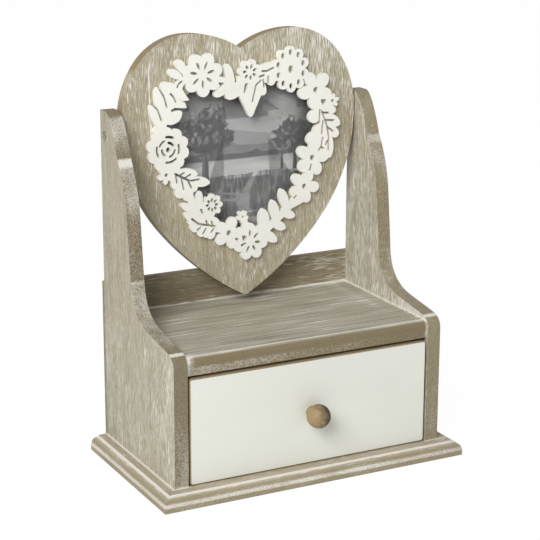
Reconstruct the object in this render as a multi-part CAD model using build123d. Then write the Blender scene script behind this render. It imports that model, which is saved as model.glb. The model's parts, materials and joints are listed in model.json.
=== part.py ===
from build123d import *
import math
import os

# A heart photo frame that swivels between two uprights on a small cabinet with one drawer.
# Millimetres. X runs to the right, Y to the back and Z up. The origin is on the underside, at
# the middle of the cabinet's width and depth.

# Heart board, drawn in its own plane from the pivot axis
heart_half_width = 86.9
heart_waist = 6.8  # height of the widest point above the pivot
shoulder_radius = 64.0  # first arc above the widest point
shoulder_turn = 35.0  # degrees that it turns through
lobe_radius = 45.0  # tighter arc, on to the top of the lobe
notch_radius = 70.5  # flatter arc from the top of the lobe to the notch
side_radius = 119.0  # first arc below the widest point
side_turn = 38.8
tip_radius = 195.0  # second arc, down to the tip
tip_rounding = 2.5
heart_thickness = 9.0
heart_lean = 2.6  # degrees that the top leans back at rest
heart_side_gap = 1.1  # between the board and each side panel
heart_tip_gap = 5.0  # between the sharp tip and the shelf when the board is upright

# Aperture and what lies in the rebate behind it
aperture_border = 30.9  # board left between the aperture and the widest point
aperture_waist = -4.0
aperture_lobe_radius = 31.0
aperture_notch_radius = 40.0
aperture_side_radius = 54.0
aperture_side_turn = 24.0
aperture_tip_radius = 90.0
rebate_width = 5.0
lip_thickness = 4.2
pane_thickness = 2.0
print_thickness = 0.3
rebate_clearance = 0.4

# Wreath of flowers and leaves on the face of the board
wreath_thickness = 3.0
wreath_border = 14.4  # board left between the wreath and the widest point
wreath_drawn_half_width = 72.5  # half width at which the motifs below are drawn
stem_width = 5.0
petal_slit_width = 2.0
rose_slit_width = 1.8
vein_width = 1.5
daisy_hole_radius = 1.8
daisy_eye_radius = 2.3
rose_eye_radius = 1.7

# Turn buttons on the back of the board
button_length = 18.0
button_width = 7.0
button_thickness = 1.0
button_tail = 5.0  # from the screw to the short end
button_setback = 5.5  # from the rebate to the screw
button_lift = 0.1  # running gap under the button and under its screw head
button_screw_diameter = 2.5
button_head_diameter = 5.0
button_head_height = 1.6
button_screw_depth = 3.5

# Pivot screws
pivot_setback = 6.4  # from the back edge of the side panel
pivot_screw_diameter = 3.0
pivot_head_diameter = 6.0
pivot_head_height = 1.8
pivot_screw_grip = 12.0  # length in the heart board
pivot_sink = 2.6  # depth of the counterbore
pivot_sink_gap = 0.5  # around the head in the counterbore
running_clearance = 0.05  # around a shank that turns in its hole

# Side panels
panel_thickness = 9.5
panel_depth = 111.0
crown_rise = 16.5  # top of the panel above the pivot
crown_flat = 8.0
shoulder_depth = 27.5  # upper shoulder, from the back edge and from the top
shoulder_drop = 28.1
shoulder_corner = 16.9  # where the upper shoulder's end tangent meets the top
flare_depth = 41.2  # lower shoulder
flare_drop = 64.5
flare_corner_depth = 38.9
flare_corner_drop = 45.9
cove_depth = 45.8  # hollow between the upright and the arm, from the back edge
cove_height = 33.0  # above the shelf
cove_corner_depth = 48.2
cove_corner_height = 11.2
arm_length = 38.2  # straight slope of the arm, from the front edge
arm_height = 7.5  # above the shelf, at the cove
nose_length = 10.0
nose_height = 3.3
nose_drop = 9.5

# Shelf, back and plinth
drawer_bay_height = 72.9
shelf_thickness = 11.6
shelf_setback = 1.8  # behind the front edges of the side panels
shelf_nose = 3.5  # rounding of the shelf's upper front edge
back_thickness = 3.5
back_rise = 23.0  # above the shelf
back_foot = 2.0  # lower edge of the back above the underside
plinth_overhang = 12.5
plinth_flat = 3.6  # upright lower edge of the moulding
plinth_round = 5.2  # quarter round above it
plinth_ledge = 0.5
plinth_riser = 0.9

# Drawer
drawer_side_gap = 1.3
drawer_top_gap = 1.7
drawer_bottom_gap = 0.3
drawer_runner_gap = 0.3  # under the drawer's sides
drawer_back_gap = 4.0
drawer_front_thickness = 10.0
drawer_front_inset = 0.2
drawer_front_corner = 2.0
drawer_front_edge = 1.0  # rounding of the front's face
drawer_front_lip = 4.0  # part of the front that covers the ends of the sides
drawer_side_thickness = 6.0
drawer_side_height = 52.0
drawer_side_inset = 0.6  # of the box behind the edge of the front
drawer_bottom_thickness = 3.0
drawer_bottom_height = 5.0  # above the lower edge of the sides
drawer_back_thickness = 6.0
groove_depth = 3.0
groove_clearance = 0.15

# Knob
knob_diameter = 15.7
knob_neck_diameter = 8.0
knob_standoff = 1.85  # between the ball and the drawer front
knob_screw_diameter = 3.5
knob_screw_grip = 9.0  # length in the ball
knob_head_diameter = 7.0
knob_head_height = 2.2

# Hidden fasteners
base_screw_diameter = 3.5
base_head_diameter = 7.0
base_head_height = 2.2
base_screw_grip = 20.0  # length in the side panel
base_screw_inset = 22.0  # from the ends of the side panel
dowel_diameter = 6.0
dowel_panel_depth = 6.0
dowel_shelf_depth = 14.0
dowel_inset = 25.0  # from the front and back edges of the shelf
pin_diameter = 1.2
pin_head_diameter = 2.4
pin_head_height = 0.6
pin_length = 14.0
pin_inset = 12.0  # from an end or an edge to the nearest pin
recess_width = 0.9  # slots of a cross recess
recess_depth = 0.9
recess_share = 0.6  # length of a cross recess as a share of the head
fastener_clearance = 0.05


def tangent_arcs(start, arcs, sense):
    """Arcs that follow one another smoothly from the widest point, up for 1 and down for -1.

    Each arc is a radius and the degrees it turns through; one without degrees runs on to the
    upright axis. Gives the centre, radius, start and end of each.
    """
    pieces = []
    heading = 0.0
    for radius, turn in arcs:
        across = start[0] - radius * math.cos(heading)
        up = start[1] - sense * radius * math.sin(heading)
        heading = math.acos(-across / radius) if turn is None else heading + math.radians(turn)
        end = (across + radius * math.cos(heading), up + sense * radius * math.sin(heading))
        pieces.append(((across, up), radius, start, end))
        start = end
    return pieces


def heart_arcs(half_width, waist, above, below):
    """Arcs of the right half of a heart, above and below its widest point."""
    widest = (half_width, waist)
    return tangent_arcs(widest, above, 1), tangent_arcs(widest, below, -1)


def notch_height(outline):
    return heart_arcs(*outline)[0][-1][3][1]


def tip_height(outline):
    return heart_arcs(*outline)[1][-1][3][1]


def arc_through(centre, radius, start, end):
    """The short arc about a centre between two points."""
    first = math.atan2(start[1] - centre[1], start[0] - centre[0])
    last = math.atan2(end[1] - centre[1], end[0] - centre[0])
    middle = (first + last) / 2
    half_way = (centre[0] + radius * math.cos(middle), centre[1] + radius * math.sin(middle))
    return ThreePointArc(start, half_way, end)


def heart_face(*outline):
    """A heart with a notch on top and a tip below, symmetric about its upright axis."""
    above, below = heart_arcs(*outline)
    right = [arc_through(*arc) for arc in above + below]
    left = [mirror(edge, about=Plane.YZ) for edge in right]
    return make_face(right + left)


# Values that follow from the sizes
heart_outline = (
    heart_half_width,
    heart_waist,
    ((shoulder_radius, shoulder_turn), (lobe_radius, 90.0 - shoulder_turn), (notch_radius, None)),
    ((side_radius, side_turn), (tip_radius, None)),
)
aperture_half_width = heart_half_width - aperture_border
aperture_outline = (
    aperture_half_width,
    aperture_waist,
    ((aperture_lobe_radius, 90.0), (aperture_notch_radius, None)),
    ((aperture_side_radius, aperture_side_turn), (aperture_tip_radius, None)),
)
heart_tip_depth = -tip_height(heart_outline)
aperture_notch_z = notch_height(aperture_outline)
aperture_tip_z = tip_height(aperture_outline)
backing_thickness = heart_thickness - lip_thickness - pane_thickness - print_thickness

bay_half_width = heart_half_width + heart_side_gap
body_half_width = bay_half_width + panel_thickness
plinth_half_width = body_half_width + plinth_overhang
plinth_depth = plinth_overhang + panel_depth
plinth_front = -(plinth_depth + back_thickness) / 2
plinth_height = plinth_flat + plinth_round + plinth_riser
panel_front = plinth_front + plinth_overhang
panel_back = panel_front + panel_depth
back_face = panel_back + back_thickness
shelf_bottom = plinth_height + drawer_bay_height
shelf_top = shelf_bottom + shelf_thickness
back_top = shelf_top + back_rise
pivot_y = panel_back - pivot_setback
pivot_z = shelf_top + heart_tip_gap + heart_tip_depth
panel_top = pivot_z + crown_rise

# The heart's parts are drawn upright about the pivot and then leaned back
heart_place = Pos(0, pivot_y, pivot_z) * Rot(-heart_lean, 0, 0)
face_y = -heart_thickness / 2
rear_y = heart_thickness / 2
pane_front_y = face_y + lip_thickness
print_front_y = pane_front_y + pane_thickness
backing_front_y = print_front_y + print_thickness

drawer_front_y = panel_front + drawer_front_inset
drawer_front_back_y = drawer_front_y + drawer_front_thickness
drawer_side_front_y = drawer_front_y + drawer_front_lip
drawer_back_y = panel_back - drawer_back_gap
drawer_front_half_width = bay_half_width - drawer_side_gap
drawer_box_half_width = drawer_front_half_width - drawer_side_inset
drawer_inner_half_width = drawer_box_half_width - drawer_side_thickness
drawer_front_bottom = plinth_height + drawer_bottom_gap
drawer_front_top = shelf_bottom - drawer_top_gap
drawer_side_bottom = plinth_height + drawer_runner_gap
drawer_side_top = drawer_side_bottom + drawer_side_height
drawer_floor_bottom = drawer_side_bottom + drawer_bottom_height
drawer_floor_top = drawer_floor_bottom + drawer_bottom_thickness
knob_z = (drawer_front_bottom + drawer_front_top) / 2
knob_centre_y = drawer_front_y - knob_standoff - knob_diameter / 2


def block(x, y, z):
    """A board between two limits on each axis."""
    size = (x[1] - x[0], y[1] - y[0], z[1] - z[0])
    middle = ((x[0] + x[1]) / 2, (y[0] + y[1]) / 2, (z[0] + z[1]) / 2)
    return Pos(*middle) * Box(*size)


def plate(sketch, front, back):
    """A sketch drawn in X and Z, as a plate between two depths."""
    return Pos(0, back, 0) * extrude(Plane.XZ * sketch, back - front)


def rod(radius, length):
    """A round bar that stands on the origin, along Z."""
    return Cylinder(radius, length, align=(Align.CENTER, Align.CENTER, Align.MIN))


def cross_recess(head_diameter):
    """The cross cut into a screw head whose top is at zero."""
    arm = Box(head_diameter * recess_share, recess_width, 2 * recess_depth)
    return arm + Rot(0, 0, 90) * arm


def round_head_screw(diameter, length, head_diameter, head_height):
    """A screw whose shank starts at the origin and runs down, with a rounded head above it."""
    head = rod(head_diameter / 2, head_height)
    head = fillet(head.edges().group_by(Axis.Z)[-1], head_height / 2)
    shank = Pos(0, 0, -length) * rod(diameter / 2, length)
    return head + shank - Pos(0, 0, head_height) * cross_recess(head_diameter)


def flat_head_screw(diameter, length, head_diameter, head_height):
    """A countersunk screw whose head is flush at the origin and whose shank runs down."""
    cone = Cone(diameter / 2, head_diameter / 2, head_height)
    head = Pos(0, 0, -head_height / 2) * cone
    shank = Pos(0, 0, -length) * rod(diameter / 2, length)
    return head + shank - cross_recess(head_diameter)


def pin(length):
    """A nail whose head is flush at the origin and whose shank runs down."""
    head = Pos(0, 0, -pin_head_height) * rod(pin_head_diameter / 2, pin_head_height)
    return head + Pos(0, 0, -length) * rod(pin_diameter / 2, length)


def pin_hole(length):
    """The room that a pin takes, with its clearance."""
    head_radius = pin_head_diameter / 2 + fastener_clearance
    head = Pos(0, 0, -pin_head_height) * rod(head_radius, pin_head_height)
    shank = Pos(0, 0, -length) * rod(pin_diameter / 2 + fastener_clearance, length)
    return head + shank


def group(pieces):
    """Several like pieces in one node."""
    return Compound(children=list(pieces))


# Places of the hidden fasteners
base_screw_y = (panel_front + base_screw_inset, panel_back - base_screw_inset)
base_screw_x = body_half_width - panel_thickness / 2
base_screw_places = [
    Pos(side * base_screw_x, y, 0) * Rot(180, 0, 0) for side in (-1, 1) for y in base_screw_y
]
base_screw_length = plinth_height + base_screw_grip

shelf_front = panel_front + shelf_setback
dowel_z = shelf_bottom + shelf_thickness / 2
dowel_y = (shelf_front + dowel_inset, panel_back - dowel_inset)
dowel_places = [(side, y) for side in (-1, 1) for y in dowel_y]

back_pin_z = (
    plinth_height + pin_inset,
    (plinth_height + shelf_bottom) / 2,
    back_top - pin_inset,
)
shelf_pin_x = bay_half_width / 2
back_pin_spots = [(side * base_screw_x, z) for side in (-1, 1) for z in back_pin_z]
back_pin_spots += [(side * shelf_pin_x, dowel_z) for side in (-1, 1)]
back_pin_places = [Pos(x, back_face, z) * Rot(-90, 0, 0) for x, z in back_pin_spots]

drawer_pin_z = (drawer_floor_top + pin_inset, drawer_side_top - pin_inset)
drawer_pin_y = (
    (drawer_side_front_y + drawer_front_back_y) / 2,
    drawer_back_y - drawer_back_thickness / 2,
)
drawer_pin_places = [
    Pos(side * drawer_box_half_width, y, z) * Rot(0, side * 90, 0)
    for side in (-1, 1)
    for y in drawer_pin_y
    for z in drawer_pin_z
]


def base_screw_room():
    """Holes for the base screws, countersunk in the plinth's underside."""
    radius = base_screw_diameter / 2 + fastener_clearance
    head_radius = base_head_diameter / 2 + fastener_clearance
    cone = Pos(0, 0, -base_head_height / 2) * Cone(radius, head_radius, base_head_height)
    hole = cone + Pos(0, 0, -base_screw_length) * rod(radius, base_screw_length)
    return [place * hole for place in base_screw_places]


def dowel(side, y, clearance):
    """A dowel, or its hole, from the shelf into a side panel."""
    inner = bay_half_width - dowel_shelf_depth - clearance
    length = dowel_shelf_depth + dowel_panel_depth + 2 * clearance
    bar = Pos(inner, y, dowel_z) * Rot(0, 90, 0) * rod(dowel_diameter / 2 + clearance, length)
    return bar if side > 0 else mirror(bar, about=Plane.YZ)


def dowel_room():
    return [dowel(side, y, fastener_clearance) for side, y in dowel_places]


def back_pin_room():
    return [place * pin_hole(pin_length) for place in back_pin_places]


def drawer_pin_room():
    return [place * pin_hole(pin_length) for place in drawer_pin_places]


def moulded_side(half_width):
    """Section of the plinth across its width: flat, quarter round, ledge and riser each side."""
    round_end = half_width - plinth_round
    ledge_end = round_end - plinth_ledge
    round_top = plinth_flat + plinth_round
    middle = plinth_round * math.sqrt(0.5)
    arc = ThreePointArc(
        (half_width, plinth_flat),
        (round_end + middle, plinth_flat + middle),
        (round_end, round_top),
    )
    right = [
        Line((0, 0), (half_width, 0)),
        Line((half_width, 0), (half_width, plinth_flat)),
        arc,
        Polyline((round_end, round_top), (ledge_end, round_top), (ledge_end, plinth_height)),
        Line((ledge_end, plinth_height), (0, plinth_height)),
    ]
    return right


def base_plinth():
    """Bottom board, moulded at the front and both sides and square at the back."""
    right = moulded_side(plinth_half_width)
    left = [mirror(edge, about=Plane.YZ) for edge in right]
    across = plate(make_face(right + left), plinth_front, panel_back)
    # The front moulding has the same section, drawn along the depth from the back edge
    depth_section = moulded_side(plinth_depth) + [Line((0, 0), (0, plinth_height))]
    along = extrude(Plane.YZ * make_face(depth_section), 2 * plinth_half_width)
    along = Pos(plinth_half_width, panel_back, 0) * Rot(0, 0, 180) * along
    return (across & along) - base_screw_room()


def panel_profile():
    """Side of the cabinet: crown, two shoulders, slope, cove, arm and rounded nose."""
    crown = (panel_back - crown_flat, panel_top)
    shoulder = (panel_back - shoulder_depth, panel_top - shoulder_drop)
    flare = (panel_back - flare_depth, panel_top - flare_drop)
    cove = (panel_back - cove_depth, shelf_top + cove_height)
    arm = (panel_front + arm_length, shelf_top + arm_height)
    nose = (panel_front + nose_length, shelf_top + nose_height)
    arm_slope = (arm[1] - nose[1]) / (arm[0] - nose[0])
    nose_corner = (panel_front, nose[1] - arm_slope * nose_length)
    nose_end = (panel_front, shelf_top + nose_height - nose_drop)
    edges = [
        Polyline(nose_end, (panel_front, plinth_height), (panel_back, plinth_height)),
        Polyline((panel_back, plinth_height), (panel_back, panel_top), crown),
        Bezier(crown, (panel_back - shoulder_corner, panel_top), shoulder),
        Bezier(
            shoulder,
            (panel_back - flare_corner_depth, panel_top - flare_corner_drop),
            flare,
        ),
        Line(flare, cove),
        Bezier(cove, (panel_back - cove_corner_depth, shelf_top + cove_corner_height), arm),
        Line(arm, nose),
        Bezier(nose, nose_corner, nose_end),
    ]
    return make_face(edges)


def side_panel(side):
    """A side panel with its pivot hole; side is -1 for the left and 1 for the right."""
    panel = Pos(bay_half_width, 0, 0) * extrude(Plane.YZ * panel_profile(), panel_thickness)
    to_pivot = Pos(bay_half_width, pivot_y, pivot_z) * Rot(0, 90, 0)
    panel -= to_pivot * rod(pivot_screw_diameter / 2 + running_clearance, panel_thickness)
    sink_floor = Pos(panel_thickness - pivot_sink, 0, 0)
    sink = Rot(0, 90, 0) * rod(pivot_head_diameter / 2 + pivot_sink_gap, pivot_sink)
    panel -= Pos(bay_half_width, pivot_y, pivot_z) * sink_floor * sink
    if side < 0:
        panel = mirror(panel, about=Plane.YZ)
    return panel - base_screw_room() - dowel_room() - back_pin_room()


def shelf():
    """Cabinet top between the side panels, with a rounded upper front edge."""
    board = block(
        (-bay_half_width, bay_half_width),
        (shelf_front, panel_back),
        (shelf_bottom, shelf_top),
    )
    nose = board.edges().filter_by(Axis.X).group_by(Axis.Y)[0].sort_by(Axis.Z)[-1]
    return fillet(nose, shelf_nose) - dowel_room() - back_pin_room()


def back_panel():
    """Thin back behind the side panels and the plinth; its top stands above the shelf."""
    board = block(
        (-body_half_width, body_half_width),
        (panel_back, back_face),
        (back_foot, back_top),
    )
    return board - back_pin_room()


def drawer_front():
    """Drawer front with rounded edges, rebated for the sides and grooved for the bottom."""
    height = drawer_front_top - drawer_front_bottom
    outline = Pos(0, knob_z) * RectangleRounded(
        2 * drawer_front_half_width, height, drawer_front_corner
    )
    lip = plate(outline, drawer_front_y, drawer_side_front_y)
    lip = fillet(lip.faces().sort_by(Axis.Y)[0].edges(), drawer_front_edge)
    core = block(
        (-drawer_inner_half_width, drawer_inner_half_width),
        (drawer_side_front_y, drawer_front_back_y),
        (drawer_front_bottom, drawer_front_top),
    )
    to_knob = Pos(0, drawer_front_y, knob_z) * Rot(-90, 0, 0)
    hole = to_knob * rod(knob_screw_diameter / 2 + fastener_clearance, drawer_front_thickness)
    return lip + core - hole - drawer_floor(groove_clearance) - drawer_pin_room()


def drawer_floor(clearance):
    """The drawer's bottom sheet, or with a clearance the groove that takes it."""
    half_width = drawer_inner_half_width + groove_depth - groove_clearance + clearance
    front = drawer_front_back_y - groove_depth + groove_clearance - clearance
    return block(
        (-half_width, half_width),
        (front, drawer_back_y),
        (drawer_floor_bottom - clearance, drawer_floor_top + clearance),
    )


def drawer_side(side):
    """A side of the drawer box, grooved for the bottom; side is -1 or 1."""
    near, far = sorted((side * drawer_inner_half_width, side * drawer_box_half_width))
    board = block(
        (near, far),
        (drawer_side_front_y, drawer_back_y),
        (drawer_side_bottom, drawer_side_top),
    )
    return board - drawer_floor(groove_clearance) - drawer_pin_room()


def drawer_back():
    """Back of the drawer box, standing on the bottom sheet."""
    board = block(
        (-drawer_inner_half_width, drawer_inner_half_width),
        (drawer_back_y - drawer_back_thickness, drawer_back_y),
        (drawer_floor_top, drawer_side_top),
    )
    return board - drawer_pin_room()


def drawer_knob():
    """Turned ball on a short neck, with a blind hole for its screw."""
    ball = Pos(0, knob_centre_y, knob_z) * Sphere(knob_diameter / 2)
    to_face = Pos(0, drawer_front_y, knob_z) * Rot(90, 0, 0)
    neck = to_face * rod(knob_neck_diameter / 2, knob_standoff + knob_diameter / 2)
    hole = to_face * rod(knob_screw_diameter / 2 + fastener_clearance, knob_screw_grip)
    return ball + neck - hole


def knob_screw():
    """Screw through the drawer front into the knob, its head inside the drawer."""
    length = drawer_front_thickness + knob_screw_grip - fastener_clearance
    screw = round_head_screw(knob_screw_diameter, length, knob_head_diameter, knob_head_height)
    return Pos(0, drawer_front_back_y, knob_z) * Rot(-90, 0, 0) * screw


# Motifs of the wreath: x and z from the pivot axis, at the drawn size
slit_flowers = [
    # x, z, reach, petals, turn
    (-29.5, 35.7, 14.8, 7, 14.0),
    (5.4, 35.0, 8.8, 7, 20.0),
    (-25.0, -52.0, 7.8, 8, 0.0),
    (3.2, -80.2, 13.0, 7, -10.0),
]
eye_flowers = [
    # x, z, reach, petals, turn, eye radius
    (55.2, 19.5, 13.5, 5, 47.0, 2.0),
    (51.9, -27.0, 12.9, 5, 4.0, 1.9),
    (45.3, -46.3, 11.7, 5, -8.0, 1.8),
    (-13.0, -72.5, 11.3, 5, -3.0, 1.9),
    (68.3, 11.0, 5.0, 6, 15.0, 1.2),
    (-57.8, -28.5, 6.4, 6, 20.0, 1.3),
    (-2.4, -62.4, 4.4, 5, 54.0, 0.8),
]
daisies = [
    # x, z, reach, petals, turn, upright stretch
    (36.3, 34.8, 14.2, 10, 18.0, 1.15),
]
roses = [
    # x, z, reach, petals, turn
    (-55.9, -11.8, 15.2, 10, 22.0),
]
rose_slits = [
    # radius of the arc, start, sweep
    (4.6, 30.0, 55.0),
    (4.4, 180.0, 60.0),
    (4.8, -75.0, 65.0),
    (6.4, 115.0, 38.0),
    (8.5, 62.0, 35.0),
    (8.1, 165.0, 45.0),
    (8.0, -20.0, 38.0),
    (8.5, -100.0, 50.0),
]
round_leaves = [
    # base, tip, width
    # sprig above the rose
    ((-41.5, 36.5), (-47.5, 46.5), 6.2),
    ((-44.0, 34.5), (-53.8, 39.8), 5.8),
    ((-47.0, 28.0), (-59.3, 29.8), 7.0),
    ((-51.5, 14.5), (-57.5, 33.0), 8.0),
    # spray below the rose
    ((-50.2, -28.0), (-52.3, -38.5), 6.2),
    ((-47.0, -32.0), (-49.0, -45.0), 7.5),
    ((-43.5, -33.5), (-42.5, -47.5), 8.5),
    ((-42.0, -34.5), (-36.5, -41.0), 6.5),
    # sprig at the lower left
    ((-35.0, -56.0), (-34.3, -41.3), 5.6),
    ((-34.0, -61.0), (-43.0, -62.0), 6.5),
    ((-34.0, -63.5), (-41.0, -67.5), 6.5),
    ((-29.0, -66.0), (-36.0, -71.5), 6.5),
    ((-27.0, -67.0), (-32.0, -73.0), 6.0),
    ((-24.0, -67.5), (-28.5, -74.5), 6.5),
    ((-29.0, -60.0), (-20.5, -66.0), 6.5),
    # spray at the right
    ((60.0, 8.5), (70.5, 3.5), 6.0),
    ((63.0, -6.0), (72.3, -13.5), 7.0),
    ((59.0, 6.0), (50.5, -2.0), 8.5),
    ((60.0, -4.0), (54.5, -12.0), 7.5),
    ((57.5, -9.0), (48.6, -17.0), 8.0),
    # leaves at the top
    ((-7.0, 25.0), (-12.0, 41.6), 6.0),
    ((0.5, 24.0), (-13.3, 19.8), 7.0),
    ((-6.0, 29.0), (-21.5, 21.0), 6.0),
    ((13.0, 29.5), (15.2, 18.8), 6.0),
    ((23.5, 35.0), (20.3, 25.0), 6.5),
    ((12.0, 37.3), (25.5, 39.0), 4.6),
]
pointed_leaves = [
    # base, tip, width
    # sprig above the rose
    ((-58.8, 8.0), (-62.6, 30.0), 6.8),
    ((-60.0, 2.0), (-67.4, 18.5), 6.8),
    ((-58.5, 6.0), (-45.2, 12.6), 9.0),
    # spray below the rose
    ((-51.0, -27.5), (-35.0, -30.0), 7.0),
    ((-43.0, -33.5), (-26.2, -36.6), 7.0),
    # sprig at the lower left
    ((-34.0, -55.0), (-48.2, -49.6), 6.0),
    ((-32.0, -61.0), (-46.0, -56.0), 7.5),
    # sprig at the lower right
    ((14.4, -76.0), (13.2, -58.4), 8.2),
    ((23.4, -70.0), (20.6, -53.2), 7.0),
    ((31.6, -62.0), (27.4, -46.2), 6.8),
    ((11.0, -73.5), (23.6, -82.6), 6.8),
    ((19.0, -68.6), (30.4, -74.2), 6.4),
    ((27.0, -62.6), (37.8, -66.4), 6.0),
    # spray at the right
    ((61.0, 1.6), (74.0, -6.0), 8.0),
    ((64.3, -9.0), (65.4, -28.6), 7.4),
]
wedges = [
    # corners of leaves with straight sides: the large one at the top, and two above the rose
    [(-4.6, 33.0), (-4.2, 22.0), (3.8, 5.8), (5.2, 4.8), (6.8, 5.8), (13.6, 19.5), (13.0, 33.0)],
    [(-46.0, 31.0), (-43.2, 25.0), (-39.6, 19.8), (-44.0, 19.4), (-49.0, 22.0)],
    [(-50.0, 22.5), (-42.8, 18.4), (-41.8, 14.8), (-46.0, 15.0), (-51.0, 15.6)],
]
stems = [
    [(-18.0, 31.5), (-9.0, 29.0)],
    [(-8.5, 26.8), (-1.0, 25.8)],
    [(10.0, 33.6), (28.0, 33.2)],
    [(12.0, 36.4), (21.0, 37.6)],
    [(15.0, 29.2), (20.0, 30.0)],
    [(55.2, 18.0), (57.5, 9.0), (58.5, 2.0)],
    [(58.0, 6.0), (61.0, -3.0), (61.5, -12.0), (58.5, -19.0), (53.5, -26.0)],
    [(66.5, 9.0), (62.0, 6.0)],
    [(64.0, 14.5), (67.0, 11.5)],
    [(62.3, -12.0), (62.3, -22.0)],
    [(62.0, -2.0), (66.0, -5.0)],
    [(57.5, -11.0), (57.5, -17.0)],
    [(4.0, -79.0), (13.0, -75.0), (22.0, -68.5), (30.0, -62.0), (37.0, -56.0), (44.5, -49.0)],
    [(34.5, -58.5), (46.0, -54.0)],
    [(-2.4, -62.4), (0.5, -72.0)],
    [(-14.0, -71.0), (-27.0, -66.5), (-34.0, -61.0), (-36.0, -54.0), (-39.5, -48.5), (-42.5, -41.0)],
    [(-43.0, -34.0), (-48.0, -29.5), (-56.0, -27.0)],
    [(-26.5, -53.5), (-33.5, -58.5), (-27.0, -61.0), (-26.5, -55.0)],
    [(-35.0, -51.0), (-28.0, -52.0)],
    [(-55.0, -22.0), (-49.0, -27.0)],
    [(-60.0, -22.0), (-58.0, -27.0)],
    [(-49.0, -31.0), (-49.0, -36.0)],
    [(-64.0, 1.0), (-60.0, 4.5)],
    [(-60.0, -2.0), (-58.5, 8.0), (-54.5, 17.0), (-50.0, 24.0), (-45.0, 32.0), (-36.0, 36.0)],
]
vein_slits = [
    # points along a slit
    # at the top
    [(-17.4, 29.1), (-14.6, 28.7)],
    [(1.0, 22.0), (2.0, 27.0)],
    [(1.8, 23.5), (3.2, 27.2)],
    [(6.9, 15.5), (9.8, 26.0), (13.4, 28.8)],
    [(15.8, 24.6), (15.2, 29.2)],
    [(19.0, 27.5), (19.0, 31.2)],
    [(12.6, 31.4), (16.0, 32.2)],
    [(14.6, 35.0), (18.5, 34.9), (22.8, 36.7)],
    # sprig above the rose
    [(-48.0, 28.8), (-46.6, 31.2), (-44.6, 32.4)],
    [(-53.0, 24.8), (-51.0, 22.8), (-49.3, 19.2)],
    [(-61.4, 29.8), (-57.6, 23.0), (-55.7, 16.4)],
    [(-65.6, 18.4), (-62.4, 15.0), (-60.0, 8.0)],
    [(-52.2, 13.6), (-49.5, 14.3), (-44.0, 14.0)],
    # spray at the right
    [(59.8, 12.0), (62.8, 11.6)],
    [(59.8, 11.0), (62.0, 10.6)],
    [(58.3, 5.3), (57.8, -3.6)],
    [(59.8, 4.4), (63.6, -5.5), (65.0, -14.0), (64.6, -22.5)],
    [(60.8, 3.3), (65.0, 3.0)],
    [(62.5, -1.9), (69.2, -2.6)],
    [(64.0, -6.9), (69.0, -10.5)],
    [(60.6, -2.5), (59.6, -10.8)],
    [(60.3, -14.0), (58.9, -20.0), (57.2, -22.2)],
    [(58.9, -20.0), (61.0, -21.6)],
    [(64.4, -16.0), (62.7, -18.6)],
    # spray below the rose
    [(-51.5, -28.3), (-41.0, -34.0), (-34.0, -33.6)],
    [(-48.6, -29.9), (-45.0, -28.2)],
    [(-44.8, -31.9), (-40.4, -29.8)],
    [(-51.0, -28.6), (-50.3, -34.2)],
    [(-47.2, -30.6), (-45.5, -39.2)],
    [(-42.4, -33.2), (-39.8, -38.8)],
    # sprig at the lower left
    [(-40.2, -59.9), (-35.5, -63.7), (-22.6, -66.9)],
    [(-36.3, -67.8), (-34.6, -66.7)],
    [(-32.3, -70.8), (-30.2, -67.9)],
    [(-26.0, -70.3), (-24.3, -68.4)],
    [(-29.8, -62.3), (-28.6, -65.0)],
    [(-25.8, -63.3), (-24.6, -66.2)],
    [(-33.4, -54.3), (-32.2, -56.8)],
    # between petals
    [(-7.4, -69.3), (-3.2, -68.3)],
    [(-4.6, -69.2), (-3.6, -67.6)],
    [(-7.8, -77.2), (-6.4, -77.6)],
    [(50.9, -31.8), (50.3, -34.4)],
    [(38.9, -52.3), (37.4, -53.6)],
]
round_holes = [
    # x, z, radius
    (-1.3, -77.4, 1.9),
]


def ring_spots(x, z, radius, count, turn, stretch=1.0):
    """Points and headings on a circle, or on one stretched upright."""
    headings = [turn + 360.0 * step / count for step in range(round(count))]
    return [
        (
            x + radius * math.cos(math.radians(heading)),
            z + stretch * radius * math.sin(math.radians(heading)),
            heading,
        )
        for heading in headings
    ]


def flower(x, z, reach, petals, turn, ring_share, overlap, stretch=1.0):
    """Oval petals on a ring about a disc; with an overlap of one, neighbours just touch."""
    ring = ring_share * reach
    half_width = overlap * ring * math.sin(math.pi / petals)
    petal = Ellipse(reach - ring, half_width)
    spots = ring_spots(x, z, ring, petals, turn, stretch)
    return [Pos(x, z) * Circle(0.85 * ring)] + [
        Pos(px, pz) * Rot(0, 0, heading) * petal for px, pz, heading in spots
    ]


def petal_slits(x, z, reach, petals, turn):
    """A slim oval slit in each petal, between a quarter and three fifths of the reach."""
    slit = Ellipse(0.19 * reach, petal_slit_width / 2)
    spots = ring_spots(x, z, 0.43 * reach, petals, turn)
    return [Pos(px, pz) * Rot(0, 0, heading) * slit for px, pz, heading in spots]


def leaf(base, tip, width, fullness):
    """A leaf with a pointed base; its tip is round at a fullness of one and sharper below it."""
    run = (tip[0] - base[0], tip[1] - base[1])
    length = math.hypot(*run)
    aside = (-run[1] / length * width * 2 / 3, run[0] / length * width * 2 / 3)
    low = (base[0] + 0.25 * run[0], base[1] + 0.25 * run[1])
    high = (base[0] + fullness * run[0], base[1] + fullness * run[1])
    one_side = Bezier(
        base,
        (low[0] + aside[0], low[1] + aside[1]),
        (high[0] + aside[0], high[1] + aside[1]),
        tip,
    )
    other_side = Bezier(
        tip,
        (high[0] - aside[0], high[1] - aside[1]),
        (low[0] - aside[0], low[1] - aside[1]),
        base,
    )
    return make_face([one_side, other_side])


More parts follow.
